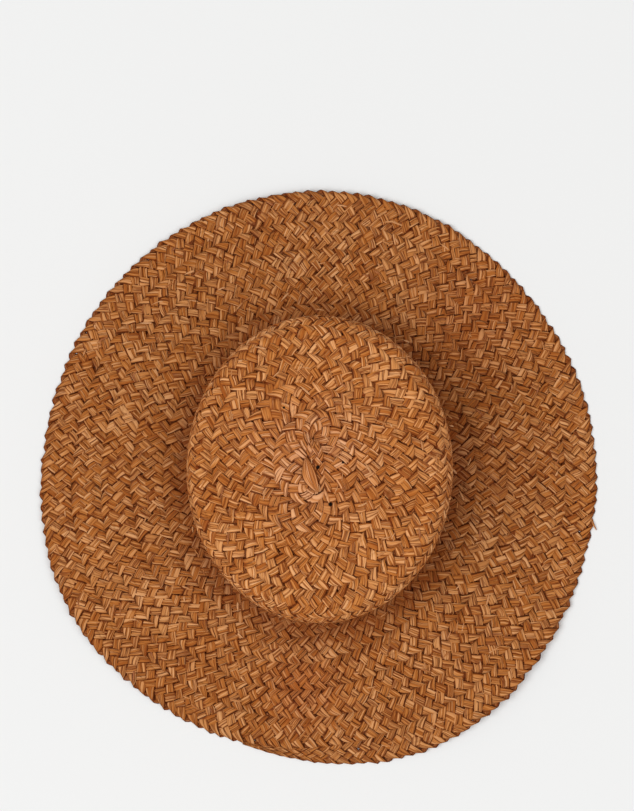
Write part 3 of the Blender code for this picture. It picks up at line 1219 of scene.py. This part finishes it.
# %% [markdown]
# ## Winding the hat
#
# One mesh of the whole plait would be too heavy to share, so it is wound in
# six stretches that follow on from each other. Each takes the place of the
# solid wall where it lies.

# %% Where one stretch ends and the next begins
WHOLE_REPEATS = round(RIBBON_LENGTH / (CROSSINGS * LEVEL_STEP))
REPEAT_LENGTH = RIBBON_LENGTH / WHOLE_REPEATS
LEVEL_LENGTH = LEVEL_STEP * math.sqrt(2)


def repeats_before(run):
    """How many whole repeats lie between the plait's end and the turn whose middle crosses that run."""
    for row in RIBBON:
        middle_run = (seam_run(row["turn"]) + seam_run(row["turn"] + 1)) / 2
        if middle_run <= run:
            return round(row["distance"] / REPEAT_LENGTH)
    return WHOLE_REPEATS


def stretches(node, names, first, last):
    """Rows for stretches of about equal length, from one repeat to another, in place of one solid."""
    ends = [first + (last - first) * number // len(names) for number in range(len(names) + 1)]
    return [
        {"name": name, "node": node, "from": start, "to": end}
        for name, start, end in zip(names, ends, ends[1:])
    ]


BRIM_REPEATS = repeats_before(BRIM_AT)
SIDE_REPEATS = repeats_before((SHOULDER_AT + WALL_AT) / 2)
BRIM_NAMES = ("brim_plait_outer", "brim_plait_middle", "brim_plait_inner")
SIDE_NAMES = ("side_plait_lower", "side_plait_upper")
STRETCHES = (
    *stretches("brim", BRIM_NAMES, 0, BRIM_REPEATS),
    *stretches("crown_side", SIDE_NAMES, BRIM_REPEATS, SIDE_REPEATS),
    *stretches("crown_tip", ("tip_plait",), SIDE_REPEATS, WHOLE_REPEATS),
)
print("repeats:", WHOLE_REPEATS, "of", round(1000 * REPEAT_LENGTH, 2), "mm")
print("on the brim:", BRIM_REPEATS, "and on the side:", SIDE_REPEATS - BRIM_REPEATS)


# %% One stretch as a plain closed mesh
def set_inputs(modifier, tree, values):
    """Sets a tree's inputs on its modifier, by each socket's identifier."""
    for socket in tree.interface.items_tree:
        if socket.in_out == "INPUT" and socket.name in values:
            modifier[socket.identifier] = values[socket.name]


def plain_copy(source, name):
    """The evaluated object as a plain mesh of its own. The source and its modifier are then removed."""
    bpy.context.view_layer.update()
    evaluated = source.evaluated_get(bpy.context.evaluated_depsgraph_get())
    mesh = bpy.data.meshes.new_from_object(evaluated)
    source.modifiers.clear()
    bpy.data.objects.remove(source)
    mesh.name = name
    return put_in_scene(name, mesh)


def close_ends(made):
    """Fills the open ends of the strands, and counts what is left open."""
    builder = bmesh.new()
    builder.from_mesh(made.data)
    open_edges = [edge for edge in builder.edges if edge.is_boundary]
    bmesh.ops.holes_fill(builder, edges=open_edges, sides=len(RING_CORNERS))
    left = sum(1 for edge in builder.edges if not edge.is_manifold)
    builder.to_mesh(made.data)
    builder.free()
    return left


# %% How much each strand changes
STRAND_CHANGES = {
    "Change Every": 0.010,
    "Width Change": 0.7,
    "Place Change": 0.0026,
    "Turn Change": 1.2,
    "Split Change": 0.0075,
    "Strip Change": 0.0014,
    "Lift Change": 0.0008,
    "Tilt Change": 0.35,
    "Seed": 4.0,
}


def wind_stretch(row):
    """One stretch of the plait, wound on its part of the ribbon."""
    start = row["from"] * REPEAT_LENGTH
    end = row["to"] * REPEAT_LENGTH
    ribbon, origin, length = ribbon_piece("ribbon", start, end)
    modifier = ribbon.modifiers.new("winder", "NODES")
    modifier.node_group = WINDER
    set_inputs(modifier, WINDER, {
        **STRAND_CHANGES,
        "One Repeat": ONE_REPEAT,
        "Repeats": row["to"] - row["from"],
        "First Repeat": row["from"],
        "Repeat Length": REPEAT_LENGTH,
        "Guide From": origin,
        "Guide Length": length,
        "Plait Width": PLAIT_WIDTH,
        "Guide Margin": RIBBON_MARGIN,
        "Level Length": LEVEL_LENGTH,
        "Straw": STRAW,
    })
    made = plain_copy(ribbon, row["name"])
    left = close_ends(made)
    triangles = sum(len(face.vertices) - 2 for face in made.data.polygons)
    print(row["name"], "triangles", triangles, "open edges", left)
    return made


# %% Wind all six
for stretch in STRETCHES:
    piece = wind_stretch(stretch)
    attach(piece, "root")
    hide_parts(stretch["node"])
bpy.data.objects.remove(ONE_REPEAT)

# %% [markdown]
# ## Loose fibres
#
# The strips split and fray as they are plaited and sewn, and thin slivers curl
# up, mostly beside the seams. One sliver is modelled, and Geometry Nodes scatter
# copies of it over the outside of the ribbon with a fixed seed, each turned,
# tipped and sized at random.

# %% One sliver
SLIVER_LENGTH = 0.0070
SLIVER_WIDTH = 0.00100
SLIVER_DEPTH = 0.6
SLIVER_RISE = 0.0005
SLIVER_ARCH = 0.72
SLIVER_SINK = 0.35
SLIVER_BEND = 0.06
SLIVER_BEHIND = 0.3
SLIVER_TIP = 0.15
SLIVER_LEAD = 0.12
SLIVER_ROWS = 6
SLIVER_CORNERS = 3


def sliver_ring(share):
    """The three corners of the sliver at a share of its length: arched, bent and tapered at both ends."""
    fullness = math.sin(math.pi * min(1.0, SLIVER_LEAD + share)) ** 0.5
    half = SLIVER_WIDTH / 2 * (SLIVER_TIP + (1 - SLIVER_TIP) * fullness)
    rise = SLIVER_RISE * (math.sin(math.pi * share * SLIVER_ARCH) - SLIVER_SINK)
    bend = SLIVER_LENGTH * SLIVER_BEND * share * share
    centre = Vector((SLIVER_LENGTH * (share - SLIVER_BEHIND), bend, rise))
    corners = (Vector((0, -half, 0)), Vector((0, half, 0)), Vector((0, 0, half * SLIVER_DEPTH)))
    return [centre + corner for corner in corners]


def sliver_object(name):
    """A thin three-sided sliver as a closed mesh."""
    builder = bmesh.new()
    rings = []
    for row in range(SLIVER_ROWS + 1):
        rings.append([builder.verts.new(corner) for corner in sliver_ring(row / SLIVER_ROWS)])
    for first, second in zip(rings, rings[1:]):
        for corner in range(SLIVER_CORNERS):
            after = (corner + 1) % SLIVER_CORNERS
            builder.faces.new((first[corner], second[corner], second[after], first[after]))
    builder.faces.new(rings[0])
    builder.faces.new(list(reversed(rings[-1])))
    bmesh.ops.recalc_face_normals(builder, faces=builder.faces)
    mesh = bpy.data.meshes.new(name)
    builder.to_mesh(mesh)
    builder.free()
    return put_in_scene(name, mesh)


# %% Scattering the slivers
SCATTER_INPUTS = (
    {"name": "Sliver", "kind": "NodeSocketObject"},
    {"name": "Density", "kind": "NodeSocketFloat"},
    {"name": "Seed", "kind": "NodeSocketInt"},
    {"name": "Lift", "kind": "NodeSocketFloat"},
    {"name": "Inside Margin", "kind": "NodeSocketFloat"},
    {"name": "Straw", "kind": "NodeSocketMaterial"},
)
FLAT_ENOUGH = 0.9
SLIVER_CHANCES = {
    "roll": {"from": -0.25, "to": 0.25, "seed": 1},
    "tip": {"from": -0.15, "to": 0.15, "seed": 2},
    "turn": {"from": -1.05, "to": 1.05, "seed": 3},
    "length": {"from": 0.4, "to": 1.3, "seed": 4},
    "width": {"from": 0.6, "to": 1.5, "seed": 5},
    "tone": {"from": 0.2, "to": 1.0, "seed": 6},
}


def sliver_chance(tree, name):
    """A random number for each point, from the row of that name."""
    row = SLIVER_CHANCES[name]
    node = add(tree, "FunctionNodeRandomValue", data_type="FLOAT")
    low, high = [socket for socket in node.inputs if socket.type == "VALUE"][:2]
    low.default_value = row["from"]
    high.default_value = row["to"]
    node.inputs["Seed"].default_value = row["seed"]
    return next(socket for socket in node.outputs if socket.type == "VALUE")


def compared(tree, operation, first, second):
    """Whether one number is greater, or less, than another."""
    node = add(tree, "FunctionNodeCompare", data_type="FLOAT", operation=operation)
    feed(tree, node.inputs[0], first)
    feed(tree, node.inputs[1], second)
    return node.outputs[0]


# %% Where slivers lie and how they turn
def unwanted(tree, given):
    """Whether a point is on the ribbon's margins, or where the hat isn't flat enough for a sliver."""
    across = split_up(tree, named(tree, "plait_place", "FLOAT_VECTOR"))[1]
    from_middle = sum_up(tree, "ABSOLUTE", sum_up(tree, "SUBTRACT", across, 0.5))
    upward = split_up(tree, named(tree, "outward", "FLOAT_VECTOR"))[2]
    either = add(tree, "FunctionNodeBooleanMath", operation="OR")
    edge = sum_up(tree, "SUBTRACT", 0.5, given["Inside Margin"])
    tree.links.new(compared(tree, "GREATER_THAN", from_middle, edge), either.inputs[0])
    tree.links.new(compared(tree, "LESS_THAN", upward, FLAT_ENOUGH), either.inputs[1])
    return either.outputs[0]


def sliver_rotation(tree):
    """Out from the hat and along the plait, then rolled, tipped and turned a little by chance."""
    facing = add(tree, "FunctionNodeAxesToRotation", primary_axis="Z", secondary_axis="X")
    tree.links.new(named(tree, "outward", "FLOAT_VECTOR"), facing.inputs[0])
    tree.links.new(named(tree, "lengthways", "FLOAT_VECTOR"), facing.inputs[1])
    own_turn = add(tree, "FunctionNodeEulerToRotation")
    chances = [sliver_chance(tree, name) for name in ("roll", "tip", "turn")]
    tree.links.new(three(tree, *chances), own_turn.inputs[0])
    spin = add(tree, "FunctionNodeRotateRotation", rotation_space="LOCAL")
    tree.links.new(facing.outputs[0], spin.inputs["Rotation"])
    tree.links.new(own_turn.outputs[0], spin.inputs["Rotate By"])
    return spin.outputs["Rotation"]


# %% The tree that scatters them
def scattered_points(tree, given):
    """Random points on the ribbon, without the unwanted ones."""
    points = add(tree, "GeometryNodeDistributePointsOnFaces", distribute_method="RANDOM")
    tree.links.new(given["Geometry"], points.inputs["Mesh"])
    tree.links.new(given["Density"], points.inputs["Density"])
    tree.links.new(given["Seed"], points.inputs["Seed"])
    cleared = add(tree, "GeometryNodeDeleteGeometry", domain="POINT")
    tree.links.new(points.outputs["Points"], cleared.inputs["Geometry"])
    tree.links.new(unwanted(tree, given), cleared.inputs["Selection"])
    return cleared.outputs["Geometry"]


def make_scatter():
    """The tree: a turned, sized and toned sliver on each point, lifted and never below the floor."""
    tree, given = new_tree("fibre_scatter", SCATTER_INPUTS)
    source = add(tree, "GeometryNodeObjectInfo", transform_space="ORIGINAL")
    tree.links.new(given["Sliver"], source.inputs["Object"])
    place = add(tree, "GeometryNodeInstanceOnPoints")
    tree.links.new(scattered_points(tree, given), place.inputs["Points"])
    tree.links.new(source.outputs["Geometry"], place.inputs["Instance"])
    tree.links.new(sliver_rotation(tree), place.inputs["Rotation"])
    wide = sliver_chance(tree, "width")
    tree.links.new(three(tree, sliver_chance(tree, "length"), wide, wide), place.inputs["Scale"])
    raised = add(tree, "GeometryNodeTranslateInstances")
    tree.links.new(place.outputs["Instances"], raised.inputs["Instances"])
    tree.links.new(three(tree, 0.0, 0.0, given["Lift"]), raised.inputs["Translation"])
    tone = sliver_chance(tree, "tone")
    toned = store(tree, raised.outputs["Instances"], "tone", tone, domain="INSTANCE")
    real = add(tree, "GeometryNodeRealizeInstances")
    tree.links.new(toned, real.inputs["Geometry"])
    kept = add(tree, "GeometryNodeSetPosition")
    tree.links.new(real.outputs["Geometry"], kept.inputs["Geometry"])
    here = add(tree, "GeometryNodeInputPosition").outputs[0]
    tree.links.new(off_floor(tree, here), kept.inputs["Position"])
    end_tree(tree, given, kept.outputs["Geometry"])
    return tree


# %% The slivers' finish and the piece itself
SLIVER_LIFT = 0.0008
SLIVER_MARGIN = 0.3
SLIVER_SEED = 7
SLIVERS_PER_SQUARE_METRE = 4200.0
SLIVER_GRAIN_SCALE = 900.0
SLIVER_GRAIN_SHARE = 0.15
SLIVER_ROUGHNESS = 0.55


def sliver_material(name):
    """Paler split straw, with its tone from sliver to sliver and a fine grain."""
    material, tree, shader = new_material(name)
    noise = add(tree, "ShaderNodeTexNoise")
    tree.links.new(on_object(tree), noise.inputs["Vector"])
    noise.inputs["Scale"].default_value = SLIVER_GRAIN_SCALE
    grain = between(tree, noise.outputs["Fac"], 0.3, 0.7, -SLIVER_GRAIN_SHARE, SLIVER_GRAIN_SHARE)
    tone = sum_up(tree, "ADD", attribute(tree, "tone"), grain)
    tree.links.new(tone_scale(tree, tone, STRAW_TONES), shader.inputs["Base Color"])
    shader.inputs["Roughness"].default_value = SLIVER_ROUGHNESS
    return material


def scatter_slivers():
    """All loose fibres as one piece."""
    sliver = sliver_object("sliver")
    ribbon, _, _ = ribbon_piece("fibre_ribbon", 0.0, RIBBON_LENGTH)
    modifier = ribbon.modifiers.new("scatter", "NODES")
    modifier.node_group = make_scatter()
    set_inputs(modifier, modifier.node_group, {
        "Sliver": sliver,
        "Density": SLIVERS_PER_SQUARE_METRE,
        "Seed": SLIVER_SEED,
        "Lift": SLIVER_LIFT,
        "Inside Margin": SLIVER_MARGIN,
        "Straw": sliver_material("split_straw"),
    })
    made = plain_copy(ribbon, "loose_fibres")
    bpy.data.objects.remove(sliver)
    return made


loose = scatter_slivers()
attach(loose, "root")
print("loose fibres:", len(loose.data.polygons), "faces")

# %% [markdown]
# ## Lone strips
#
# Two strips stand out by themselves: the broad leaf that starts the plait in the
# middle of the tip, and a loose end at the brim's right edge. Each is a short
# strip with a flat six-sided section along a bowed line, so one function makes
# both. They carry the same facts as the plait, so they take its straw.

# %% Where the lone strips lie
LONE_STRIPS = (
    {"name": "core leaf", "from": (-0.0084, 0.0052), "to": (-0.0008, -0.0164), "bow": -0.0016,
     "wide": 0.0092, "tip": 0.22, "tone": 0.35},
    {"name": "loose end", "from": (0.1893, -0.0290), "to": (0.1932, -0.0385), "bow": -0.0004,
     "wide": 0.0013, "tip": 0.35, "tone": 0.8},
)
# Painted shade: the thin sides of a lone strip carry shade 1, so they are painted dark like the plait's
# edges.
LONE_CORNERS = (
    {"across": -1.0, "up": 0.0, "shade": 1.0},
    {"across": -0.8, "up": 1.0, "shade": 0.0},
    {"across": 0.8, "up": 1.0, "shade": 0.0},
    {"across": 1.0, "up": 0.0, "shade": 1.0},
    {"across": 0.8, "up": -1.0, "shade": 0.0},
    {"across": -0.8, "up": -1.0, "shade": 0.0},
)
LONE_FACTS = ("along", "across", "edge_shade", "tone", "pass_seed", "buried")
LONE_SEED = 0.5
LONE_ROWS = 14
LONE_THICKNESS = 0.0005
LONE_LIFT = 0.0006
LONE_ARCH = 0.0006


def lone_ground(x, y):
    """The height of the straw's top under a point of the tip or of the brim's edge."""
    if math.hypot(x, y) < SHOULDER_AT:
        return CROWN_TOP
    angle = math.atan2(y + HAT_MIDDLE.y, x + HAT_MIDDLE.x)
    return brim_height(EDGE_AT, angle)


def lone_ring(row, share):
    """The corners of one ring across a lone strip: flat, with thin sides."""
    start = Vector(row["from"])
    end = Vector(row["to"])
    way = (end - start).normalized()
    beside = Vector((-way.y, way.x))
    bulge = math.sin(math.pi * share)
    centre = start.lerp(end, share) + beside * row["bow"] * bulge
    half = row["wide"] / 2 * (row["tip"] + (1 - row["tip"]) * bulge)
    height = lone_ground(*centre) + LONE_LIFT + LONE_ARCH * bulge
    return [
        Vector((*(centre + beside * corner["across"] * half), height + corner["up"] * LONE_THICKNESS / 2))
        for corner in LONE_CORNERS
    ]


def lone_facts(row, number, share, corner):
    """What the straw reads on one corner of a lone strip."""
    length = (Vector(row["to"]) - Vector(row["from"])).length
    across = corner["across"] * row["wide"] / 2 / STRIP_HALF_WIDTH
    return (length * share, across, corner["shade"], row["tone"], number + LONE_SEED, -WEAVE_HEIGHT)


def lone_piece(name):
    """All lone strips as one closed mesh."""
    points = []
    faces = []
    around = len(LONE_CORNERS)
    facts = {fact: [] for fact in LONE_FACTS}
    for number, row in enumerate(LONE_STRIPS):
        first = len(points)
        last = first + LONE_ROWS * around
        faces += tube_faces(first, LONE_ROWS + 1, around)
        faces.append(tuple(range(first, first + around)))
        faces.append(tuple(reversed(range(last, last + around))))
        for ring in range(LONE_ROWS + 1):
            share = ring / LONE_ROWS
            points += lone_ring(row, share)
            for corner in LONE_CORNERS:
                for fact, value in zip(LONE_FACTS, lone_facts(row, number, share, corner)):
                    facts[fact].append(value)
    mesh = mesh_with_facts(name, points, faces, facts)
    mesh.shade_smooth()
    mesh.materials.append(STRAW)
    builder = bmesh.new()
    builder.from_mesh(mesh)
    bmesh.ops.recalc_face_normals(builder, faces=builder.faces)
    builder.to_mesh(mesh)
    builder.free()
    return put_in_scene(name, mesh)


lone = lone_piece("lone_strips")
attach(lone, "root")
print("lone strips:", len(lone.data.polygons), "faces")

# %% [markdown]
# ## Floor, light and camera
#
# The hat lies brim down on a plain pale floor. A large soft light comes from
# the left and a little from the front, so the crown's shade falls softly to the
# right. The camera looks down from almost straight above.

# %% The floor
FLOOR_SIZE = 6.0
FLOOR_COLOUR = (0.86, 0.86, 0.86)
FLOOR_ROUGHNESS = 0.9


def pale_floor():
    """A plain pale matt floor."""
    mesh = bpy.data.meshes.new("floor")
    half = FLOOR_SIZE / 2
    corners = [(-half, -half, 0), (half, -half, 0), (half, half, 0), (-half, half, 0)]
    mesh.from_pydata(corners, [], [(0, 1, 2, 3)])
    material, _, shader = new_material("pale_floor")
    shader.inputs["Base Color"].default_value = (*FLOOR_COLOUR, 1.0)
    shader.inputs["Roughness"].default_value = FLOOR_ROUGHNESS
    mesh.materials.append(material)
    return put_in_scene("floor", mesh)


pale_floor()

# %% Lights
LIGHT_COLOUR = (0.96, 0.99, 1.0)
SOFT_LIGHTS = (
    {"name": "key", "azimuth": 196.0, "elevation": 60.0, "distance": 9.0, "size": 5.0, "watts": 455.0},
    {"name": "fill", "azimuth": 330.0, "elevation": 60.0, "distance": 9.0, "size": 7.0, "watts": 280.0},
)
ROOM_COLOUR = (1.0, 0.95, 0.91)
ROOM_STRENGTH = 0.36


def soft_light(row):
    """A square light facing the hat, its azimuth counted anticlockwise from the photo's right."""
    lamp = bpy.data.lights.new(row["name"], "AREA")
    lamp.energy = row["watts"]
    lamp.color = LIGHT_COLOUR
    lamp.size = row["size"]
    light = put_in_scene(row["name"], lamp)
    turn = math.radians(row["azimuth"])
    rise = math.radians(row["elevation"])
    direction = Vector((math.cos(turn) * math.cos(rise), math.sin(turn) * math.cos(rise), math.sin(rise)))
    light.location = direction * row["distance"]
    light.rotation_mode = "QUATERNION"
    light.rotation_quaternion = direction.to_track_quat("Z", "Y")


def soft_room():
    """The even, slightly warm light of the room."""
    world = bpy.data.worlds.new("soft_room")
    world.use_nodes = True
    background = world.node_tree.nodes["Background"]
    background.inputs["Color"].default_value = (*ROOM_COLOUR, 1.0)
    background.inputs["Strength"].default_value = ROOM_STRENGTH
    return world


for light_row in SOFT_LIGHTS:
    soft_light(light_row)
bpy.context.scene.world = soft_room()
bpy.context.scene.view_settings.view_transform = "Standard"

# %% The camera
IMAGE_WIDTH = 634
IMAGE_HEIGHT = 811
SENSOR = 0.036
CAMERA_HEIGHT = 1.33
CAMERA_ELEVATION_DEG = 87.0
FLOOR_SCALE = 1430.0
HAT_ON_IMAGE = (319.0, 475.0)


def overhead_camera():
    """The camera above the hat, aimed so that the hat sits where it does in the photo."""
    pixels = FLOOR_SCALE * CAMERA_HEIGHT
    lens = bpy.data.cameras.new("camera")
    lens.sensor_width = 1000 * SENSOR
    lens.lens = 1000 * SENSOR * pixels / IMAGE_HEIGHT
    camera = put_in_scene("camera", lens)
    rise = math.radians(CAMERA_ELEVATION_DEG)
    camera.location = Vector((0.0, -math.cos(rise), math.sin(rise))) * CAMERA_HEIGHT
    turn_down = math.atan((HAT_ON_IMAGE[1] - IMAGE_HEIGHT / 2) / pixels)
    turn_side = math.atan((HAT_ON_IMAGE[0] - IMAGE_WIDTH / 2) / pixels)
    camera.rotation_euler = (math.pi / 2 - rise + turn_down, turn_side, 0.0)
    bpy.context.scene.camera = camera


overhead_camera()
